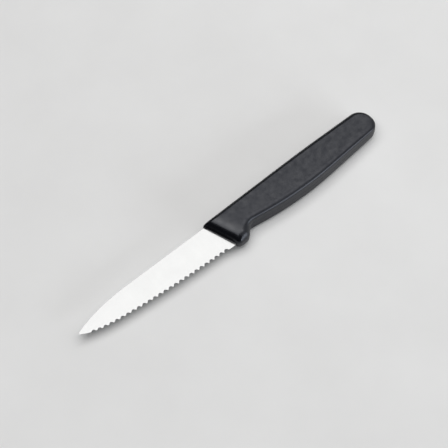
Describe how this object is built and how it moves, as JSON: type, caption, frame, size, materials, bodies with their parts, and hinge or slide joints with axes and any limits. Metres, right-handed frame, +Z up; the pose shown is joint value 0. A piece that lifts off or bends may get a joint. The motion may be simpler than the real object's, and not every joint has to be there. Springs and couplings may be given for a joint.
{
  "type": "serrated vegetable knife",
  "caption": "Small kitchen knife with a pointed, scalloped steel blade and a moulded black plastic handle with a finger guard, tapered towards the butt.",
  "frame": {"origin": "middle of the bounding box's underside, on the surface that the knife lies on", "axes": "+X from the blade's tip to the handle's butt, +Y from the cutting edge to the spine, +Z up through the thickness, out of the blade's marked side"},
  "size_m": [0.1974, 0.0216, 0.0119],
  "materials": {
    "blade_steel": "fine satin grind, ground scallops on the lower face",
    "handle_plastic": "fine matt texture with a smooth front"
  },
  "bodies": {
    "root": {"blade": "blade_steel", "handle": "handle_plastic"}
  },
  "joints": []
}
